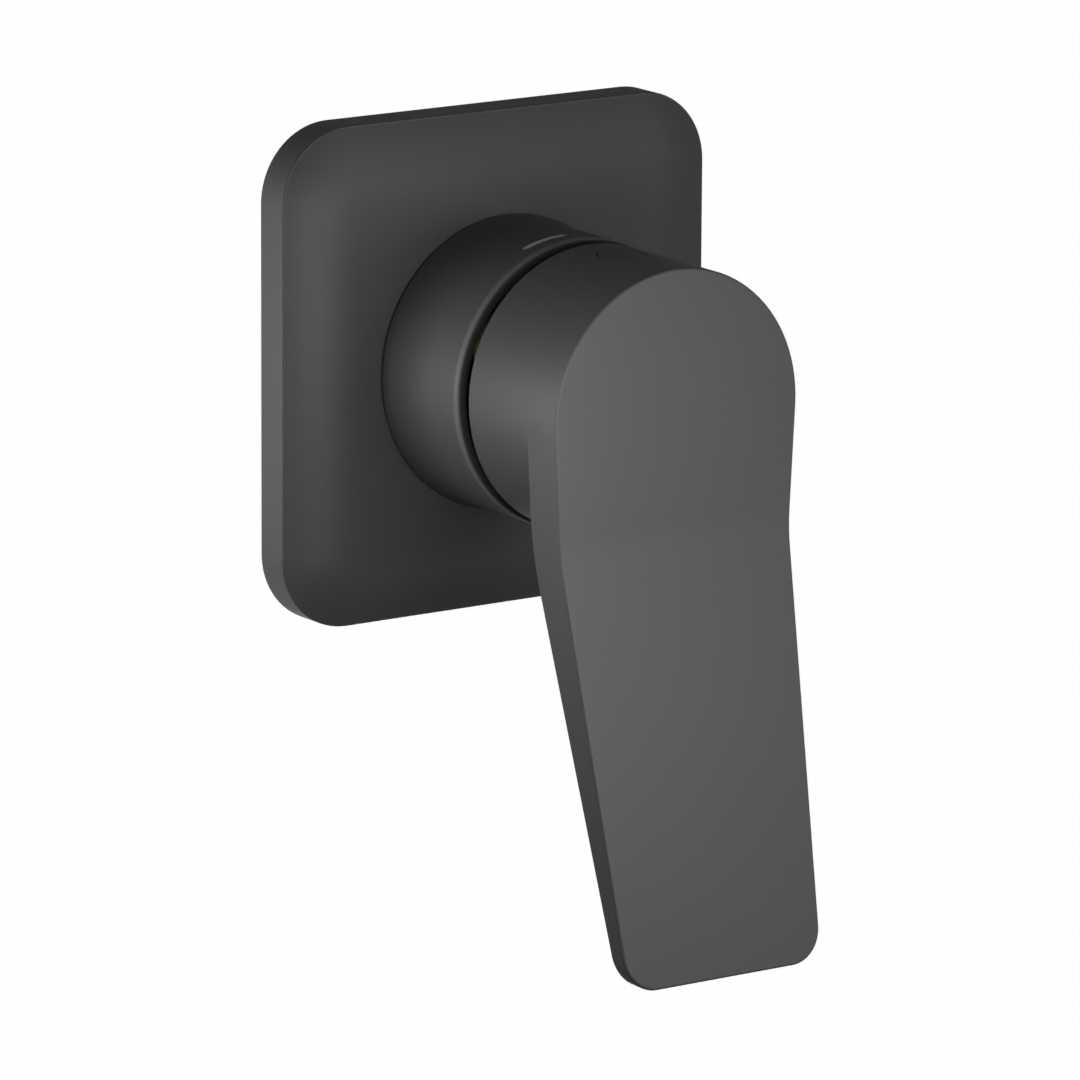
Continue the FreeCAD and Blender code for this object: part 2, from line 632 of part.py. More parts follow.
def seal_rings(rear):
    """Three seals, each one lying round a port."""
    rings = []
    for across, up, hole in port_places():
        rings.append(tube(hole + SEAL_WALL, hole, rear, rear + SEAL_HEIGHT, across, up))
    return rings


def cartridge_base():
    """Plastic base: flange under the housing, plug inside it, ports, pegs, lugs and snap noses."""
    plug = rod(HOUSING_CAVITY - SEATED, HOUSING_REAR, BASE_FRONT)
    flange = rod(HOUSING_RADIUS - SEATED, WELL_FLOOR, HOUSING_REAR)
    pieces = [plug, flange]
    for side in (-1, 1):
        lug = key_lug(side, FIXED_DISC_FRONT - KEY_LUG_BELOW_FACE, 0.0)
        lug = lug.common(rod(HOUSING_CAVITY - SEATED, WELL_FLOOR, SEAT))
        nose_up = sorted((side * (HOUSING_CAVITY - 1), side * (HOUSING_RADIUS - LOOSE)))
        nose_rear = HOUSING_REAR + SNAP_FROM_FLANGE
        nose = block((-SNAP_HALF_WIDTH, SNAP_HALF_WIDTH), nose_rear, nose_rear + SNAP_HEIGHT, nose_up)
        peg = rod(PEG_RADIUS, WELL_FLOOR - PEG_LENGTH, WELL_FLOOR, side * (HOUSING_RADIUS - PEG_FROM_RIM))
        pieces += [lug, nose, peg]
    base = joined(pieces)
    for across, up, hole in port_places():
        base = base.cut(rod(hole, WELL_FLOOR - 1, BASE_FRONT + 1, across, up))
        base = base.cut(rod(hole + SEAL_WALL, BASE_FRONT - SEAL_HEIGHT, BASE_FRONT + 1, across, up))
        base = base.cut(rod(hole + SEAL_WALL, WELL_FLOOR - 1, WELL_FLOOR + SEAL_HEIGHT, across, up))
    return base


def housing():
    """Plastic cartridge housing: cavity, collar with the limit track, two snap windows."""
    outer = turned([(0, HOUSING_REAR), (HOUSING_RADIUS, HOUSING_REAR), (HOUSING_RADIUS, SHOULDER),
                    (COLLAR_RADIUS, SHOULDER), (COLLAR_RADIUS, COLLAR_FRONT), (0, COLLAR_FRONT)])
    outer = outer.cut(rod(HOUSING_CAVITY, HOUSING_REAR - 1, CAVITY_FRONT))
    outer = outer.cut(rod(COLLAR_BORE, CAVITY_FRONT - 1, COLLAR_FRONT + 1))
    outer = outer.cut(limit_lug(TURN_ANGLE + 1.0, SLIDING))
    window_half = SNAP_HALF_WIDTH + SLIDING
    window_rear = HOUSING_REAR + SNAP_FROM_FLANGE - SLIDING
    window = block((-window_half, window_half), window_rear, window_rear + SNAP_HEIGHT + 2 * SLIDING,
                   (-WELL_RADIUS, WELL_RADIUS))
    return outer.cut(window)


def retaining_nut():
    """Brass nut: outer thread in the barrel, hexagon in front of it, pressing on the shoulder."""
    thread = tube(NUT_THREAD_RADIUS, NUT_BORE, SHOULDER, NUT_SEAT)
    head = prism(hexagon(NUT_ACROSS_FLATS), NUT_SEAT, NUT_FRONT)
    chamfer_cone = Part.makeCone(NUT_ACROSS_FLATS / 2 + NUT_HEX, NUT_ACROSS_FLATS / 2 + 0.3, NUT_HEX,
                                 spot(0, NUT_SEAT, 0), spot(0, 1, 0))
    head = head.common(chamfer_cone).cut(rod(NUT_BORE, NUT_SEAT - 1, NUT_FRONT + 1))
    return joined([thread, head])


def outlet_places():
    """Across, up, rear port and cartridge port of hot, cold and mixed water in the unit."""
    rear_ports = [(-INLET_PORT_ACROSS, -INLET_PORT_DROP), (INLET_PORT_ACROSS, -INLET_PORT_DROP),
                  (0, OUTLET_PORT_RISE)]
    return list(zip(rear_ports, port_places()))


def screw_places():
    """Across and up of each fixing screw on its circle."""
    radius = SCREW_CIRCLE / 2
    angles = [math.radians(360 / SCREW_COUNT * (step + 0.5)) for step in range(SCREW_COUNT)]
    return [(radius * math.cos(angle), radius * math.sin(angle)) for angle in angles]


def screw_cone(across, up, extra):
    """Countersunk head of a fixing screw, or its seat with the extra."""
    depth = SCREW_HEAD - SCREW_RADIUS
    return Part.makeCone(SCREW_RADIUS + extra, SCREW_HEAD + extra, depth,
                         spot(across, FLANGE_THICKNESS - depth, up), spot(0, 1, 0))


def valve_body():
    """Brass function unit: flange, barrel with well and threads, three sockets in the back."""
    thread_bore = NUT_THREAD_RADIUS + THREAD
    thread_rear = SHOULDER - 1.0
    groove = o_ring_rear()
    groove_floor = PLATE_BORE - O_RING
    body = turned([(0, -UNIT_DEPTH), (UNIT_RADIUS - 0.8, -UNIT_DEPTH), (UNIT_RADIUS, -UNIT_DEPTH + 0.8),
                   (UNIT_RADIUS, 0), (FLANGE_RADIUS, 0), (FLANGE_RADIUS, FLANGE_THICKNESS),
                   (BARREL_RADIUS, FLANGE_THICKNESS), (BARREL_RADIUS, groove), (groove_floor, groove),
                   (groove_floor, groove + O_RING), (BARREL_RADIUS, groove + O_RING),
                   (BARREL_RADIUS, BARREL_FRONT - BARREL_CHAMFER),
                   (BARREL_RADIUS - BARREL_CHAMFER, BARREL_FRONT),
                   (thread_bore, BARREL_FRONT), (thread_bore, thread_rear),
                   (WELL_RADIUS, thread_rear), (WELL_RADIUS, WELL_FLOOR), (0, WELL_FLOOR)])
    port_floor = -UNIT_DEPTH + PORT_LENGTH
    for (across, up), (inner_across, inner_up, hole) in outlet_places():
        body = body.cut(rod(PORT_RADIUS, -UNIT_DEPTH - 1, port_floor, across, up))
        seat = port_floor
        if up < 0:
            seat = port_floor + FILTER_THICKNESS
            body = body.cut(rod(FILTER_RADIUS + SEATED, port_floor - 1, seat, across, up))
        wide = Part.Wire(Part.makeCircle(FILTER_RADIUS - FILTER_RIM, spot(across, seat, up), spot(0, 1, 0)))
        narrow = Part.Wire(Part.makeCircle(hole, spot(inner_across, WELL_FLOOR, inner_up), spot(0, 1, 0)))
        body = body.cut(Part.makeLoft([wide, narrow], True, True))
    for side in (-1, 1):
        body = body.cut(rod(PEG_RADIUS + SEATED, WELL_FLOOR - PEG_LENGTH - SLIDING, WELL_FLOOR + 1,
                            side * (HOUSING_RADIUS - PEG_FROM_RIM)))
    for across, up in screw_places():
        body = body.cut(rod(SCREW_RADIUS + SEATED, -1, FLANGE_THICKNESS + 1, across, up))
        body = body.cut(screw_cone(across, up, SEATED))
    return body


def filter_washers():
    """Two mesh washers, one in each inlet: a rubber rim with crossed bars."""
    rear = -UNIT_DEPTH + PORT_LENGTH
    washers = []
    for across in (-INLET_PORT_ACROSS, INLET_PORT_ACROSS):
        washer = tube(FILTER_RADIUS, FILTER_RADIUS - FILTER_RIM, rear, rear + FILTER_THICKNESS,
                      across, -INLET_PORT_DROP)
        bars = None
        bar_half = FILTER_BAR / 2
        middle = rear + FILTER_THICKNESS / 2
        clear = FILTER_RADIUS - FILTER_RIM
        for step in range(-2, 3):
            place = step * clear / 3
            long_half = math.sqrt(clear ** 2 - place ** 2) + FILTER_RIM / 2
            upright = block((across + place - bar_half, across + place + bar_half), middle - bar_half,
                            middle + bar_half, (-INLET_PORT_DROP - long_half, -INLET_PORT_DROP + long_half))
            level = block((across - long_half, across + long_half), middle - bar_half, middle + bar_half,
                          (-INLET_PORT_DROP + place - bar_half, -INLET_PORT_DROP + place + bar_half))
            both = upright.fuse(level)
            bars = both if bars is None else bars.fuse(both)
        washers.append(washer.fuse(bars).removeSplitter())
    return Part.makeCompound(washers)


def fixing_screws():
    """Countersunk screws with cross recesses: a plain neck in the flange, the thread behind it."""
    screws = []
    long, short = RECESS_HALF_LENGTH, RECESS_HALF_WIDTH
    for across, up in screw_places():
        thread = rod(SCREW_RADIUS, FLANGE_THICKNESS - SCREW_LENGTH, 0, across, up)
        neck = rod(SCREW_NECK, -SCREW_RADIUS, FLANGE_THICKNESS, across, up)
        screw = joined([thread, neck, screw_cone(across, up, 0.0)])
        for half_across, half_up in ((long, short), (short, long)):
            recess = block((across - half_across, across + half_across), FLANGE_THICKNESS - RECESS_DEPTH,
                           FLANGE_THICKNESS + 1, (up - half_up, up + half_up))
            screw = screw.cut(recess)
        screws.append(screw)
    return Part.makeCompound(screws)


def write(name, shape):
    """One STEP file for each sub-part."""
    shape.exportStep(os.path.join("parts", name + ".step"))


os.makedirs("parts", exist_ok=True)
write("cover_plate", cover_plate())
write("plate_gasket", plate_gasket())
write("plate_o_ring", plate_o_ring())
write("sleeve", sleeve())
write("lever", lever())
write("screw_plug", screw_plug())
write("grub_screw", grub_screw())
write("spindle", spindle())
write("pivot_pin", pivot_pin())
write("guide", guide())
write("limit_ring", limit_ring())
write("slider", slider())
write("moving_disc", moving_disc())
write("fixed_disc", fixed_disc())
write("disc_seals", Part.makeCompound(seal_rings(BASE_FRONT - SEAL_HEIGHT)))
write("cartridge_base", cartridge_base())
write("base_seals", Part.makeCompound(seal_rings(WELL_FLOOR)))
write("housing", housing())
write("retaining_nut", retaining_nut())
write("valve_body", valve_body())
write("filter_washers", filter_washers())
write("fixing_screws", fixing_screws())
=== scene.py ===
import math

import bmesh
import bpy
from mathutils import Matrix, Vector


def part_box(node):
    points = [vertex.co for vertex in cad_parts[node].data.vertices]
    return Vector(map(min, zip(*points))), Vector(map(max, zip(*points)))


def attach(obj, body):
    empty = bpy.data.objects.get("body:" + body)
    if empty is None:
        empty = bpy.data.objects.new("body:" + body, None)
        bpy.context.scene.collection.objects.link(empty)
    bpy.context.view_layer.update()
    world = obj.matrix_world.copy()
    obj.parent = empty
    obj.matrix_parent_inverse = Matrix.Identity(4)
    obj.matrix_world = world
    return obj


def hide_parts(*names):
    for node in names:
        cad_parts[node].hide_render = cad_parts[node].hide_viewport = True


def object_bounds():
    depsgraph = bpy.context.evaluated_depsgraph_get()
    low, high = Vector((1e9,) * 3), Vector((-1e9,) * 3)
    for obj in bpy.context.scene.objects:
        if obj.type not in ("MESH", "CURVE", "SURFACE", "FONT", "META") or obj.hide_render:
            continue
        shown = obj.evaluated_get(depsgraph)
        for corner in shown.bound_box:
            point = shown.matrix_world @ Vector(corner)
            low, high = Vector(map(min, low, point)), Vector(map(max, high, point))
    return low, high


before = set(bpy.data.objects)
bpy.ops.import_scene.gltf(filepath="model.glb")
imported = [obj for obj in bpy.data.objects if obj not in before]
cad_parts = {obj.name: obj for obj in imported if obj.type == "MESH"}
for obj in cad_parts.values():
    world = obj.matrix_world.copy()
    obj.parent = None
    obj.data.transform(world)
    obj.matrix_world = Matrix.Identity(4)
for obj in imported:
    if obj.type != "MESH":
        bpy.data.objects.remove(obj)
cad_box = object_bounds()


# Camera
# A long lens 1.34 m from the mixer, to the left of it and a little above, as in the photograph.
# Its place comes from the picture's own perspective, so nothing is shifted or cropped.
VIEW_AZIMUTH = math.radians(34.42)
VIEW_ELEVATION = math.radians(12.97)
VIEW_ROLL = math.radians(0.334)
PICTURE_PIXELS, FOCAL_PIXELS = 1080, 8627
SENSOR = 36.0
AIM_ACROSS, AIM_UP, AIM_DISTANCE = -0.01027, 0.02920, 1.3357
CLIP_NEAR, CLIP_FAR = 0.05, 30

forward = Vector((math.sin(VIEW_AZIMUTH) * math.cos(VIEW_ELEVATION),
                  math.cos(VIEW_AZIMUTH) * math.cos(VIEW_ELEVATION),
                  -math.sin(VIEW_ELEVATION)))
level = Vector((math.cos(VIEW_AZIMUTH), -math.sin(VIEW_AZIMUTH), 0))
upright = level.cross(forward)
right = level * math.cos(VIEW_ROLL) + upright * math.sin(VIEW_ROLL)
up = upright * math.cos(VIEW_ROLL) - level * math.sin(VIEW_ROLL)
place = -(right * AIM_ACROSS + up * AIM_UP + forward * AIM_DISTANCE)

camera = bpy.data.objects.new("camera", bpy.data.cameras.new("camera"))
camera.data.sensor_width = SENSOR
camera.data.lens = SENSOR * FOCAL_PIXELS / PICTURE_PIXELS
camera.data.clip_start = CLIP_NEAR
camera.data.clip_end = CLIP_FAR
turn = Matrix((right, up, -forward)).transposed().to_4x4()
camera.matrix_world = Matrix.Translation(place) @ turn
bpy.context.scene.collection.objects.link(camera)
bpy.context.scene.camera = camera
bpy.context.scene.view_settings.view_transform = "Standard"


# Floor and surround
# A plain pale floor well below the lever, and a pale surround that meets it at the horizon.
# What looks straight at them sees white. In metal they show grey, like the photograph's dim studio.
FLOOR_DROP = 0.8
FLOOR_HALF = 6.0
FLOOR_COLOUR = (0.8, 0.8, 0.8, 1)
FLOOR_ROUGHNESS = 0.95
FLOOR_LIFT = 0.96
WHITE = (1, 1, 1, 1)
SHOWN_IN_METAL = 0.2
SURROUND_LIGHT = 0.04


def feed(tree, value, socket):
    """Sets a socket to a number or a colour, or links another socket to it."""
    if isinstance(value, (int, float, tuple)):
        socket.default_value = value
    else:
        tree.links.new(value, socket)


def mapped(tree, value, low, high, at_low=0.0, at_high=1.0):
    """A value between low and high spread over another span and held at its ends, as a socket."""
    made = tree.nodes.new("ShaderNodeMapRange")
    tree.links.new(value, made.inputs["Value"])
    for name, end in (("From Min", low), ("From Max", high),
                      ("To Min", at_low), ("To Max", at_high)):
        feed(tree, end, made.inputs[name])
    return made.outputs["Result"]


def by_sight(tree, unseen, seen):
    """A strength for what looks straight at it, a grey one for metal, and a low one as light."""
    path = tree.nodes.new("ShaderNodeLightPath")
    mirrored = tree.nodes.new("ShaderNodeMath")
    mirrored.operation = "MAXIMUM"
    tree.links.new(path.outputs["Is Glossy Ray"], mirrored.inputs[0])
    tree.links.new(path.outputs["Is Transmission Ray"], mirrored.inputs[1])
    in_metal = mapped(tree, mirrored.outputs[0], 0.0, 1.0, unseen, SHOWN_IN_METAL)
    return mapped(tree, path.outputs["Is Camera Ray"], 0.0, 1.0, in_metal, seen)


floor_mesh = bpy.data.meshes.new("floor")
floor_up = cad_box[0].z - FLOOR_DROP
corners = [(x * FLOOR_HALF, y * FLOOR_HALF, floor_up)
           for x, y in ((-1, -1), (1, -1), (1, 1), (-1, 1))]
floor_mesh.from_pydata(corners, [], [(0, 1, 2, 3)])
floor = bpy.data.objects.new("floor", floor_mesh)
bpy.context.scene.collection.objects.link(floor)
floor_finish = bpy.data.materials.new("floor_paper")
floor_finish.use_nodes = True
floor_shader = floor_finish.node_tree.nodes["Principled BSDF"]
floor_shader.inputs["Base Color"].default_value = FLOOR_COLOUR
floor_shader.inputs["Roughness"].default_value = FLOOR_ROUGHNESS
floor_shader.inputs["Specular IOR Level"].default_value = 0.0
floor_shader.inputs["Emission Color"].default_value = WHITE
floor_finish.node_tree.links.new(by_sight(floor_finish.node_tree, 0.0, FLOOR_LIFT),
                                 floor_shader.inputs["Emission Strength"])
floor_mesh.materials.append(floor_finish)

surround = bpy.data.worlds.new("surround")
surround.use_nodes = True
surround_light = surround.node_tree.nodes["Background"]
surround_light.inputs["Color"].default_value = WHITE
surround.node_tree.links.new(by_sight(surround.node_tree, SURROUND_LIGHT, 1.0),
                             surround_light.inputs["Strength"])
bpy.context.scene.world = surround


# Lamps
# Soft boxes that face the middle of the sleeve: one close before the lever, a small one off its
# left edge, two from the left and a little behind, and three weak ones from the right.
# The last two light what the photograph hides, from behind the plane of the wall.
LAMP_AIM = Vector((0, -0.03, -0.01))


def soft_box(name, azimuth, elevation, distance, side, strength):
    """A square lamp that faces the mixer. At a strength of 1 a card there keeps its own colour."""
    lamp_data = bpy.data.lights.new(name, "AREA")
    lamp_data.shape = "SQUARE"
    lamp_data.size = side
    lamp_data.energy = strength * math.pi ** 2 * distance ** 2
    lamp = bpy.data.objects.new(name, lamp_data)
    around, above = math.radians(azimuth), math.radians(elevation)
    away = Vector((math.sin(around) * math.cos(above), -math.cos(around) * math.cos(above),
                   math.sin(above)))
    lamp.location = LAMP_AIM + away * distance
    lamp.rotation_euler = (-away).to_track_quat("-Z", "Y").to_euler()
    lamp.visible_camera = False
    bpy.context.scene.collection.objects.link(lamp)


soft_box("close_box", azimuth=-10, elevation=0, distance=0.12, side=0.08, strength=0.77)
soft_box("edge_box", azimuth=-48, elevation=16.6, distance=0.07, side=0.03, strength=0.27)
soft_box("side_box", azimuth=-115, elevation=0, distance=0.12, side=0.06, strength=0.47)
soft_box("upper_side_box", azimuth=-115, elevation=15, distance=0.2, side=0.1, strength=0.25)
soft_box("right_box", azimuth=30, elevation=0, distance=1.0, side=0.3, strength=0.165)
soft_box("upper_right_box", azimuth=30, elevation=30, distance=1.0, side=0.5, strength=0.195)
soft_box("lower_right_box", azimuth=45, elevation=-30, distance=0.25, side=0.08, strength=0.08)
soft_box("far_side_box", azimuth=140, elevation=-30, distance=0.35, side=0.12, strength=0.6)
soft_box("rear_box", azimuth=180, elevation=-15, distance=0.4, side=0.3, strength=0.2)


# Matt black coating
# The plate, the sleeve and the lever are brass under a thin matt black coating. It has a fine grain
# and clouds faintly from place to place; its edges are painted paler, partly wear, partly painted
# highlight.
def new_group(name, takes, gives):
    """An empty shader group with number inputs at their defaults, and its outputs."""
    group = bpy.data.node_groups.new(name, "ShaderNodeTree")
    for socket, value in takes.items():
        entry = group.interface.new_socket(name=socket, in_out="INPUT",
                                           socket_type="NodeSocketFloat")
        entry.default_value = value
    for socket in gives:
        group.interface.new_socket(name=socket, in_out="OUTPUT", socket_type="NodeSocketFloat")
    return group, group.nodes.new("NodeGroupInput"), group.nodes.new("NodeGroupOutput")


def node(tree, kind, **values):
    """A node with its properties set by name."""
    made = tree.nodes.new(kind)
    for key, value in values.items():
        setattr(made, key, value)
    return made


def object_place(tree):
    """The place on a piece in metres, as a socket."""
    return node(tree, "ShaderNodeTexCoord").outputs["Object"]


def math_node(tree, operation, first, second=0.0):
    """One sum of two sockets or numbers, as a socket."""
    made = node(tree, "ShaderNodeMath", operation=operation)
    feed(tree, first, made.inputs[0])
    feed(tree, second, made.inputs[1])
    return made.outputs[0]


def noise(tree, point, scale, detail=2.0, rough=0.5):
    """Noise of a size given by a socket or a number, as a socket."""
    made = node(tree, "ShaderNodeTexNoise")
    tree.links.new(point, made.inputs["Vector"])
    for name, value in (("Scale", scale), ("Detail", detail), ("Roughness", rough)):
        feed(tree, value, made.inputs[name])
    return made.outputs["Fac"]


grain, given, out = new_group("grain", {"Grains per metre": 3000, "Clouds per metre": 40},
                              ("Height", "Cloud"))
spot = object_place(grain)
fine = noise(grain, spot, given.outputs["Grains per metre"], detail=3.0, rough=0.6)
grain.links.new(fine, out.inputs["Height"])
broad = noise(grain, spot, given.outputs["Clouds per metre"], detail=4.0)
grain.links.new(broad, out.inputs["Cloud"])

# Cosines between the true face and a rounded one, on the flat and at a full edge.
COSINE_FLAT, COSINE_EDGE = 0.995, 0.85

edges, given, out = new_group("edges", {"Reach": 0.0005, "Reach noise": 900, "Amount": 0.5},
                              ("Edge",))
bevel = node(edges, "ShaderNodeBevel", samples=6)
edges.links.new(given.outputs["Reach"], bevel.inputs["Radius"])
true_face = node(edges, "ShaderNodeNewGeometry")
match = node(edges, "ShaderNodeVectorMath", operation="DOT_PRODUCT")
edges.links.new(bevel.outputs["Normal"], match.inputs[0])
edges.links.new(true_face.outputs["Normal"], match.inputs[1])
turned_away = mapped(edges, match.outputs["Value"], COSINE_FLAT, COSINE_EDGE)
patchy = noise(edges, object_place(edges), given.outputs["Reach noise"], detail=3.0)
uneven = math_node(edges, "MULTIPLY", turned_away, patchy)
edges.links.new(math_node(edges, "MULTIPLY", uneven, given.outputs["Amount"]), out.inputs["Edge"])


def use_group(tree, group, **values):
    """A shader group placed in a material with that material's own values."""
    made = tree.nodes.new("ShaderNodeGroup")
    made.node_tree = group
    for socket, value in values.items():
        made.inputs[socket.replace("_", " ")].default_value = value
    return made


def ramp(tree, factor, low, high, low_colour, high_colour):
    """Two colours blended as a factor goes from low to high, as a socket."""
    made = node(tree, "ShaderNodeValToRGB")
    first, last = made.color_ramp.elements
    first.position, first.color = low, (*low_colour, 1)
    last.position, last.color = high, (*high_colour, 1)
    tree.links.new(factor, made.inputs["Fac"])
    return made.outputs["Color"]


NOISE_LOW, NOISE_HIGH = 0.3, 0.7


def spread(tree, factor, low, high):
    """The usual span of a noise spread over low to high, as a socket."""
    return mapped(tree, factor, NOISE_LOW, NOISE_HIGH, low, high)


def bump(tree, shader, height, distance, strength=1.0):
    """Lets a height shape the light on a shader."""
    made = node(tree, "ShaderNodeBump")
    made.inputs["Strength"].default_value = strength
    made.inputs["Distance"].default_value = distance
    tree.links.new(height, made.inputs["Height"])
    tree.links.new(made.outputs["Normal"], shader.inputs["Normal"])


def new_finish(name, metallic=0.0, specular=0.5):
    """A material with its node tree and its shader."""
    finish = bpy.data.materials.new(name)
    finish.use_nodes = True
    shader = finish.node_tree.nodes["Principled BSDF"]
    shader.inputs["Metallic"].default_value = metallic
    shader.inputs["Specular IOR Level"].default_value = specular
    return finish, finish.node_tree, shader


def dress(name, finish):
    """Gives a finish to one of the construction's own pieces."""
    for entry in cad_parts[name].material_slots:
        entry.material = finish


# Places of the colour sockets on a mix node, whose names its other sockets share.
MIX_UNDER, MIX_OVER, MIX_RESULT = 6, 7, 2


def tint(tree, factor, ground, colour, kind="MIX"):
    """A colour laid over another by a factor, or multiplied into it, as a socket."""
    made = node(tree, "ShaderNodeMix", data_type="RGBA", blend_type=kind)
    feed(tree, factor, made.inputs["Factor"])
    feed(tree, ground, made.inputs[MIX_UNDER])
    feed(tree, colour, made.inputs[MIX_OVER])
    return made.outputs[MIX_RESULT]


BLACK = (0.050, 0.050, 0.051)
BLACK_PALE = (0.056, 0.056, 0.057)
BLACK_RUBBED_HIGHLIGHT = (0.085, 0.085, 0.086, 1)
COAT_GRAINS, COAT_CLOUDS = 3200, 35
COAT_ROUGHNESS, ROUGHNESS_SWING, RUBBED_SMOOTHER = 0.5, 0.03, -0.15
COAT_SPECULAR = 0.25


def black_coat(name, grains=COAT_GRAINS, roughness=COAT_ROUGHNESS):
    """Matt black coating with its grain, its clouds, and edges rubbed by handling and painted paler
    as a highlight.
    """
    finish, tree, shader = new_finish(name, specular=COAT_SPECULAR)
    texture = use_group(tree, grain, Grains_per_metre=grains, Clouds_per_metre=COAT_CLOUDS)
    edge_wear_and_highlight = use_group(tree, edges, Reach=0.0004, Reach_noise=700, Amount=1.2)
    clouded = ramp(tree, texture.outputs["Cloud"], 0.3, 0.9, BLACK, BLACK_PALE)
    # Edges painted paler: partly rubbed wear, partly a painted highlight along rims and edges.
    worn_and_highlit = tint(tree, edge_wear_and_highlight.outputs["Edge"], clouded, BLACK_RUBBED_HIGHLIGHT)
    tree.links.new(worn_and_highlit, shader.inputs["Base Color"])
    rubbed = math_node(tree, "MULTIPLY", edge_wear_and_highlight.outputs["Edge"], RUBBED_SMOOTHER)
    dull = spread(tree, texture.outputs["Cloud"], roughness - ROUGHNESS_SWING,
                  roughness + ROUGHNESS_SWING)
    tree.links.new(math_node(tree, "ADD", dull, rubbed), shader.inputs["Roughness"])
    bump(tree, shader, texture.outputs["Height"], distance=0.000012, strength=0.5)
    return finish


# Cover plate
# The rosette: a square brass pressing with a straight rim and a face that swells to the sleeve's
# seat. Its hollow back takes the foam gasket, and an O-ring on the barrel holds it.
dress("cover_plate", black_coat("plate_coat"))


# Sleeve
# A turned brass tube with a flared foot, screwed on the barrel, which keeps the plate on the wall.
# The outer corner of its lip carries a painted highlight, and its front edge, in the gap before the
# lever, a painted shade and a duller finish. A dash in its top, painted pale grey, marks the middle
# setting.
LIP_START, LIP_FRONT = -0.0278, -0.0293
# Share of the way from start to front, and how many times as pale as the coat: above one a painted
# highlight, below one painted shade.
LIP_HIGHLIGHT_AND_SHADE = ((0.0, 1.0), (0.2, 1.65), (0.72, 1.6), (0.88, 0.55), (0.95, 0.35))
DULL_FROM, DULL_TO, DULLER_BY = 0.72, 0.9, 0.5
DASH_PLACE, DASH_HALF = -0.0252, 0.00068
DASH_DEEP, DASH_TOP = 0.0221, 0.02247
DASH_PAINT = (0.33, 0.33, 0.32, 1)


def radius_round_axis(tree, across, height):
    """Distance from an axis along Y, from the two sockets that cross it, as a socket."""
    squares = math_node(tree, "ADD", math_node(tree, "MULTIPLY", across, across),
                        math_node(tree, "MULTIPLY", height, height))
    return math_node(tree, "SQRT", squares)


sleeve_coat = black_coat("sleeve_coat")
tree = sleeve_coat.node_tree
shader = tree.nodes["Principled BSDF"]
plain_coat = shader.inputs["Base Color"].links[0].from_socket
plain_roughness = shader.inputs["Roughness"].links[0].from_socket
spot = node(tree, "ShaderNodeSeparateXYZ")
tree.links.new(object_place(tree), spot.inputs[0])

along_lip = mapped(tree, spot.outputs["Y"], LIP_START, LIP_FRONT)
painted_lip_light = node(tree, "ShaderNodeValToRGB")
while len(painted_lip_light.color_ramp.elements) < len(LIP_HIGHLIGHT_AND_SHADE):
    painted_lip_light.color_ramp.elements.new(1.0)
for element, (along, tone) in zip(painted_lip_light.color_ramp.elements, LIP_HIGHLIGHT_AND_SHADE):
    element.position, element.color = along, (tone, tone, tone, 1)
tree.links.new(along_lip, painted_lip_light.inputs["Fac"])
# Painted highlight on the lip's outer corner and painted shade on its front edge, multiplied into
# the coat.
coat = tint(tree, 1.0, plain_coat, painted_lip_light.outputs["Color"], "MULTIPLY")
duller = mapped(tree, along_lip, DULL_FROM, DULL_TO, 0.0, DULLER_BY)
tree.links.new(math_node(tree, "ADD", plain_roughness, duller), shader.inputs["Roughness"])

off_line = math_node(tree, "ABSOLUTE", math_node(tree, "SUBTRACT", spot.outputs["Y"], DASH_PLACE))
on_line = math_node(tree, "LESS_THAN", off_line, DASH_HALF)
radius = radius_round_axis(tree, spot.outputs["X"], spot.outputs["Z"])
sunk = math_node(tree, "LESS_THAN", radius, DASH_TOP)
outside = math_node(tree, "GREATER_THAN", radius, DASH_DEEP)
painted = math_node(tree, "MULTIPLY", on_line, math_node(tree, "MULTIPLY", sunk, outside))
tree.links.new(tint(tree, painted, coat, DASH_PAINT), shader.inputs["Base Color"])
dress("sleeve", sleeve_coat)


# Lever
# One brass casting: a hollow hub and a bent flat blade, under the same coating as the sleeve.
# The grub screw in its hub clamps it on the spindle.
dress("lever", black_coat("lever_coat"))


# Screw plug
# A small plug moulded in matt black plastic, flush with the hub's round side.
# It is pressed in over the grub screw and pulled out to reach it.
PLUG_GRAINS, PLUG_ROUGHNESS = 2200, 0.55

dress("screw_plug", black_coat("plug_moulding", PLUG_GRAINS, PLUG_ROUGHNESS))


# Brass
# The function unit is cast and then turned, and the nut and the spindle are turned from bar.
# Turned faces carry fine rings about the mixer's axis, cast ones a sandy skin, and the brass is
# a little tarnished.
rings, given, out = new_group("rings", {"Rings per metre": 9000}, ("Height",))
parts = node(rings, "ShaderNodeSeparateXYZ")
rings.links.new(object_place(rings), parts.inputs[0])
radius = radius_round_axis(rings, parts.outputs["X"], parts.outputs["Z"])
tool_path = node(rings, "ShaderNodeCombineXYZ")
for place_across, axis in ((radius, "X"), (parts.outputs["Y"], "Y")):
    turns = math_node(rings, "MULTIPLY", place_across, given.outputs["Rings per metre"])
    rings.links.new(turns, tool_path.inputs[axis])
rings.links.new(noise(rings, tool_path.outputs[0], 1.0), out.inputs["Height"])

BRASS_BRIGHT = (0.68, 0.50, 0.24)
BRASS_DULL = (0.46, 0.33, 0.15)
CAST_DEPTH, TURNED_DEPTH = 0.00006, 0.00002


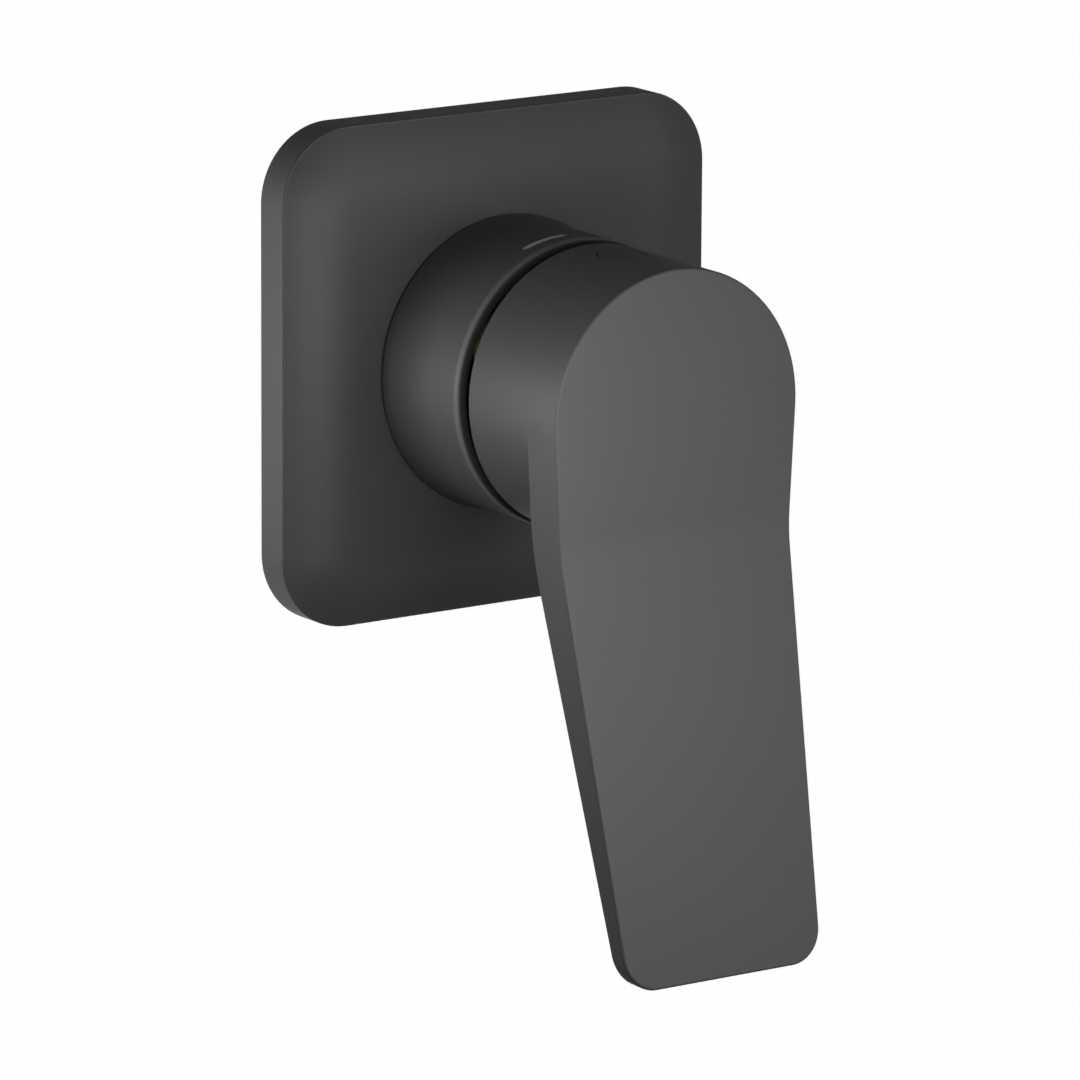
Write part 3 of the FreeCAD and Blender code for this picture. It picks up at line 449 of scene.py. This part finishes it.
def brass(name, turned_share, roughness):
    """Brass that is turned or cast, a little tarnished away from its edges."""
    finish, tree, shader = new_finish(name, metallic=1.0)
    cut = use_group(tree, rings, Rings_per_metre=7000)
    skin = use_group(tree, grain, Grains_per_metre=1400, Clouds_per_metre=90)
    bright = use_group(tree, edges, Reach=0.0005, Reach_noise=500, Amount=0.8)
    shine = math_node(tree, "ADD", skin.outputs["Cloud"], bright.outputs["Edge"])
    tree.links.new(ramp(tree, shine, 0.3, 0.8, BRASS_DULL, BRASS_BRIGHT),
                   shader.inputs["Base Color"])
    tree.links.new(spread(tree, skin.outputs["Cloud"], roughness + 0.06, roughness - 0.06),
                   shader.inputs["Roughness"])
    marks = math_node(tree, "MULTIPLY", cut.outputs["Height"], turned_share)
    sand = math_node(tree, "MULTIPLY", skin.outputs["Height"], 1 - turned_share)
    depth = CAST_DEPTH if turned_share < 0.5 else TURNED_DEPTH
    bump(tree, shader, math_node(tree, "ADD", marks, sand), depth, strength=0.6)
    return finish


dress("valve_body", brass("cast_brass", turned_share=0.25, roughness=0.42))
dress("retaining_nut", brass("turned_brass", turned_share=0.95, roughness=0.3))
dress("spindle", brass("milled_brass", turned_share=0.8, roughness=0.32))


# Steel
# The pivot pin is ground smooth and pressed through the guide, and holds the spindle in it.
# It and the screws are plain steel with fine rings from the lathe.
STEEL_DARK = (0.42, 0.42, 0.43)
STEEL_PALE = (0.58, 0.58, 0.59)


def steel(name, roughness):
    """Plain steel with fine rings and a faint cloudiness."""
    finish, tree, shader = new_finish(name, metallic=1.0)
    cut = use_group(tree, rings, Rings_per_metre=12000)
    skin = use_group(tree, grain, Grains_per_metre=4000, Clouds_per_metre=250)
    tree.links.new(ramp(tree, skin.outputs["Cloud"], 0.3, 0.7, STEEL_DARK, STEEL_PALE),
                   shader.inputs["Base Color"])
    tree.links.new(spread(tree, skin.outputs["Cloud"], roughness, roughness + 0.1),
                   shader.inputs["Roughness"])
    bump(tree, shader, cut.outputs["Height"], distance=0.00001, strength=0.5)
    return finish


dress("pivot_pin", steel("pin_steel", roughness=0.2))


# Fixing screws
# Four M4 countersunk steel screws hold the function unit's flange to the wall box.
# They have a cross recess, a plain neck where they pass the flange, and a rolled thread behind it.
ROOT_SHARE, FLANK_SHARE, THREAD_DEPTH = 0.25, 0.625, 0.6134
SMOOTH_BELOW = math.radians(35)


def thread_radius(outer, pitch, along, angle):
    """Radius of a sixty degree thread at a distance along the screw and an angle round it."""
    from_root = abs(2 * ((along / pitch - angle / math.tau) % 1.0) - 1)
    share = min(1.0, max(0.0, (from_root - ROOT_SHARE) / FLANK_SHARE))
    return outer - THREAD_DEPTH * pitch * (1 - share)


def ringed_solid(name, rings, angles, places):
    """A closed form through rings of points round an axis, repeated at each place."""
    mesh = bmesh.new()
    for place in places:
        rows = []
        for along, radii in rings:
            points = [(radius * math.cos(angle), radius * math.sin(angle), along)
                      for radius, angle in zip(radii, angles)]
            rows.append([mesh.verts.new(place @ Vector(point)) for point in points])
        for near, far in zip(rows, rows[1:]):
            for index in range(len(angles)):
                after = (index + 1) % len(angles)
                mesh.faces.new((near[index], far[index], far[after], near[after]))
        first = mesh.verts.new(place @ Vector((0, 0, rings[0][0])))
        last = mesh.verts.new(place @ Vector((0, 0, rings[-1][0])))
        for index in range(len(angles)):
            after = (index + 1) % len(angles)
            mesh.faces.new((first, rows[0][index], rows[0][after]))
            mesh.faces.new((last, rows[-1][after], rows[-1][index]))
    bmesh.ops.recalc_face_normals(mesh, faces=mesh.faces)
    for face in mesh.faces:
        face.smooth = True
    for edge in mesh.edges:
        edge.smooth = edge.calc_face_angle(0) < SMOOTH_BELOW
    data = bpy.data.meshes.new(name)
    mesh.to_mesh(data)
    mesh.free()
    piece = bpy.data.objects.new(name, data)
    bpy.context.scene.collection.objects.link(piece)
    return piece


SCREW_RADIUS, SCREW_NECK, SCREW_PITCH = 0.002, 0.00177, 0.0007
SCREW_HEAD, SCREW_HEAD_DEPTH, SCREW_LENGTH = 0.004, 0.002, 0.012
SCREW_TOP = 0.0032
SCREW_TIP, SCREW_STEP = 0.0015, 0.00007
NECK_TAPER = 0.00015
MIDDLE = 0.0001
RECESS_LONG, RECESS_SHORT, RECESS_DEPTH = 0.002, 0.0004, 0.0014
# Depth, and share of the recess's full size.
RECESS_SIZES = ((0.0011, 0.5), (0.0009, 0.62), (0.0004, 0.82), (0.00008, 0.95), (0.0, 1.0))
# Depth, and radius of the head's rounded rim.
HEAD_RADII = ((0.0, 0.0032), (0.0, 0.0038), (0.00004, 0.00391), (0.00012, 0.00388))
WING_CORNER = math.atan2(RECESS_SHORT, RECESS_LONG)
BETWEEN_WINGS = (17, 25, 35, 45, 55, 65, 73)
DRIVEN_APART = 27

quarter = [WING_CORNER, *(math.radians(step) for step in BETWEEN_WINGS),
           math.pi / 2 - WING_CORNER, math.pi / 2]
screw_angles = [side * math.pi / 2 + angle for side in range(4) for angle in quarter]


def cross_radius(size, angle):
    """Distance from the middle to the edge of the cross recess."""
    wide, narrow = sorted((abs(math.cos(angle)), abs(math.sin(angle))), reverse=True)
    return size * min(RECESS_LONG / wide, RECESS_SHORT / max(narrow, 1e-6))


def evenly(radius):
    """The same radius at every angle of a fixing screw."""
    return [radius] * len(screw_angles)


screw_rings = [(-RECESS_DEPTH, evenly(MIDDLE))]
for depth, size in RECESS_SIZES:
    screw_rings.append((-depth, [cross_radius(size, angle) for angle in screw_angles]))
for depth, radius in HEAD_RADII:
    screw_rings.append((-depth, evenly(radius)))
screw_rings.append((-SCREW_HEAD_DEPTH, evenly(SCREW_RADIUS)))
screw_rings.append((-SCREW_HEAD_DEPTH - NECK_TAPER, evenly(SCREW_NECK)))
thread_length = SCREW_LENGTH - SCREW_TOP
for step in range(int(thread_length / SCREW_STEP) + 1):
    along = step * SCREW_STEP
    full = min(1.0, along / SCREW_PITCH)
    ring = []
    for angle in screw_angles:
        cut = thread_radius(SCREW_RADIUS, SCREW_PITCH, along, angle)
        cut = SCREW_NECK + (cut - SCREW_NECK) * full
        ring.append(min(cut, SCREW_TIP + thread_length - along))
    screw_rings.append((-SCREW_TOP - along, ring))

screw_places = []
screw_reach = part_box("fixing_screws")[1].x - SCREW_HEAD
for across in (-1, 1):
    for up_side in (-1, 1):
        spot = Vector((across * screw_reach, -SCREW_TOP, up_side * screw_reach))
        driven = math.radians(DRIVEN_APART * (across + 2 * up_side))
        screw_places.append(Matrix.Translation(spot) @ Matrix.Rotation(math.pi / 2, 4, "X")
                            @ Matrix.Rotation(driven, 4, "Z"))
threaded = ringed_solid("countersunk_screws", screw_rings, screw_angles, screw_places)
threaded.data.materials.append(steel("screw_steel", roughness=0.3))
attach(threaded, "unit")
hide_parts("fixing_screws")


# Grub screw
# An M5 steel screw with a hexagon socket, whose flat point bears on the spindle's square.
# It is screwed into the hub's boss from above, under the plug.
GRUB_RADIUS, GRUB_PITCH, GRUB_LENGTH = 0.0025, 0.0008, 0.008
GRUB_POINT, GRUB_TOP, GRUB_STEP = 0.00175, 0.00205, 0.00008
KEY_APOTHEM, KEY_DEPTH, KEY_CONE = 0.00125, 0.004, 0.0004
# Depth, and share of the socket's size, with the chamfer at its mouth.
KEY_SIZES = ((KEY_DEPTH, 1.0), (0.00015, 1.0), (0.0, 1.12))
GRUB_ANGLES = 48

grub_angles = [math.tau * step / GRUB_ANGLES for step in range(GRUB_ANGLES)]


def key_radius(angle):
    """Distance from the middle to the edge of the hexagon socket."""
    return KEY_APOTHEM / math.cos((angle + math.pi / 6) % (math.pi / 3) - math.pi / 6)


grub_rings = [(-KEY_DEPTH - KEY_CONE, [MIDDLE] * GRUB_ANGLES)]
for depth, size in KEY_SIZES:
    grub_rings.append((-depth, [size * key_radius(angle) for angle in grub_angles]))
for step in range(int(GRUB_LENGTH / GRUB_STEP) + 1):
    along = step * GRUB_STEP
    ring = []
    for angle in grub_angles:
        cut = thread_radius(GRUB_RADIUS, GRUB_PITCH, along, angle)
        ring.append(min(cut, GRUB_TOP + along, GRUB_POINT + GRUB_LENGTH - along))
    grub_rings.append((-along, ring))
lowest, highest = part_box("grub_screw")
grub_place = Vector(((lowest.x + highest.x) / 2, (lowest.y + highest.y) / 2, highest.z))
threaded = ringed_solid("socket_grub_screw", grub_rings, grub_angles,
                        [Matrix.Translation(grub_place)])
threaded.data.materials.append(steel("grub_steel", roughness=0.35))
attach(threaded, "handle")
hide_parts("grub_screw")


# Mouldings of the cartridge
# The housing, the guide and the base are grey glass-filled plastic, the slider is slippery and
# ivory, and the temperature limit ring is red so that the fitter finds it.
GREY_PALE, GREY_DEEP = (0.74, 0.75, 0.75), (0.66, 0.67, 0.67)
IVORY_PALE, IVORY_DEEP = (0.85, 0.84, 0.79), (0.79, 0.77, 0.70)
RED_PALE, RED_DEEP = (0.58, 0.05, 0.04), (0.47, 0.03, 0.025)


def moulded(name, pale, deep, roughness):
    """Moulded plastic with a spark-eroded skin and slightly rubbed edges."""
    finish, tree, shader = new_finish(name, specular=0.5)
    skin = use_group(tree, grain, Grains_per_metre=2500, Clouds_per_metre=120)
    rubbed = use_group(tree, edges, Reach=0.0004, Reach_noise=600, Amount=0.5)
    tone = math_node(tree, "ADD", skin.outputs["Cloud"], rubbed.outputs["Edge"])
    tree.links.new(ramp(tree, tone, 0.3, 0.8, deep, pale), shader.inputs["Base Color"])
    tree.links.new(spread(tree, skin.outputs["Cloud"], roughness - 0.04, roughness + 0.04),
                   shader.inputs["Roughness"])
    bump(tree, shader, skin.outputs["Height"], distance=0.00002, strength=0.5)
    return finish


grey_moulding = moulded("grey_moulding", GREY_PALE, GREY_DEEP, roughness=0.45)
for name in ("housing", "guide", "cartridge_base"):
    dress(name, grey_moulding)
dress("slider", moulded("ivory_moulding", IVORY_PALE, IVORY_DEEP, roughness=0.35))
dress("limit_ring", moulded("red_moulding", RED_PALE, RED_DEEP, roughness=0.38))


# Ceramic discs
# Two discs of sintered alumina, lapped so flat that the water film alone seals them.
# The slider moves the upper one on the lower one, and their openings meter the water.
CERAMIC_DEEP, CERAMIC_PALE = (0.80, 0.78, 0.72), (0.87, 0.85, 0.80)

ceramic, tree, shader = new_finish("lapped_ceramic", specular=0.6)
body_grain = use_group(tree, grain, Grains_per_metre=9000, Clouds_per_metre=300)
tree.links.new(ramp(tree, body_grain.outputs["Cloud"], 0.3, 0.7, CERAMIC_DEEP, CERAMIC_PALE),
               shader.inputs["Base Color"])
tree.links.new(spread(tree, body_grain.outputs["Cloud"], 0.12, 0.2), shader.inputs["Roughness"])
bump(tree, shader, body_grain.outputs["Height"], distance=0.000004, strength=0.4)
for name in ("moving_disc", "fixed_disc"):
    dress(name, ceramic)


# Rubber seals
# Moulded rings of black rubber under the disc, under the cartridge's base and round the barrel, and
# the washers in the inlets. They carry the grey bloom that such rubber gets in its box.
RUBBER_BLACK, RUBBER_BLOOM = (0.018, 0.018, 0.018), (0.05, 0.05, 0.05)

rubber, tree, shader = new_finish("seal_rubber", specular=0.35)
bloom = use_group(tree, grain, Grains_per_metre=5000, Clouds_per_metre=400)
tree.links.new(ramp(tree, bloom.outputs["Cloud"], 0.35, 0.75, RUBBER_BLACK, RUBBER_BLOOM),
               shader.inputs["Base Color"])
tree.links.new(spread(tree, bloom.outputs["Cloud"], 0.55, 0.75), shader.inputs["Roughness"])
bump(tree, shader, bloom.outputs["Height"], distance=0.00002, strength=0.5)
for name in ("plate_o_ring", "disc_seals", "base_seals", "filter_washers"):
    dress(name, rubber)


# Plate gasket
# A frame cut from a sheet of grey closed-cell foam and laid inside the plate's rim.
# It seals the plate to the wall.
FOAM_PALE, FOAM_DARK = (0.13, 0.13, 0.135), (0.085, 0.085, 0.09)
CELLS_PER_METRE = 1600

foam, tree, shader = new_finish("closed_cell_foam", specular=0.2)
cells = node(tree, "ShaderNodeTexVoronoi")
cells.inputs["Scale"].default_value = CELLS_PER_METRE
tree.links.new(object_place(tree), cells.inputs["Vector"])
tree.links.new(ramp(tree, cells.outputs["Distance"], 0.1, 0.7, FOAM_PALE, FOAM_DARK),
               shader.inputs["Base Color"])
tree.links.new(spread(tree, cells.outputs["Distance"], 0.85, 0.95), shader.inputs["Roughness"])
bump(tree, shader, cells.outputs["Distance"], distance=0.0001, strength=0.7)
dress("plate_gasket", foam)
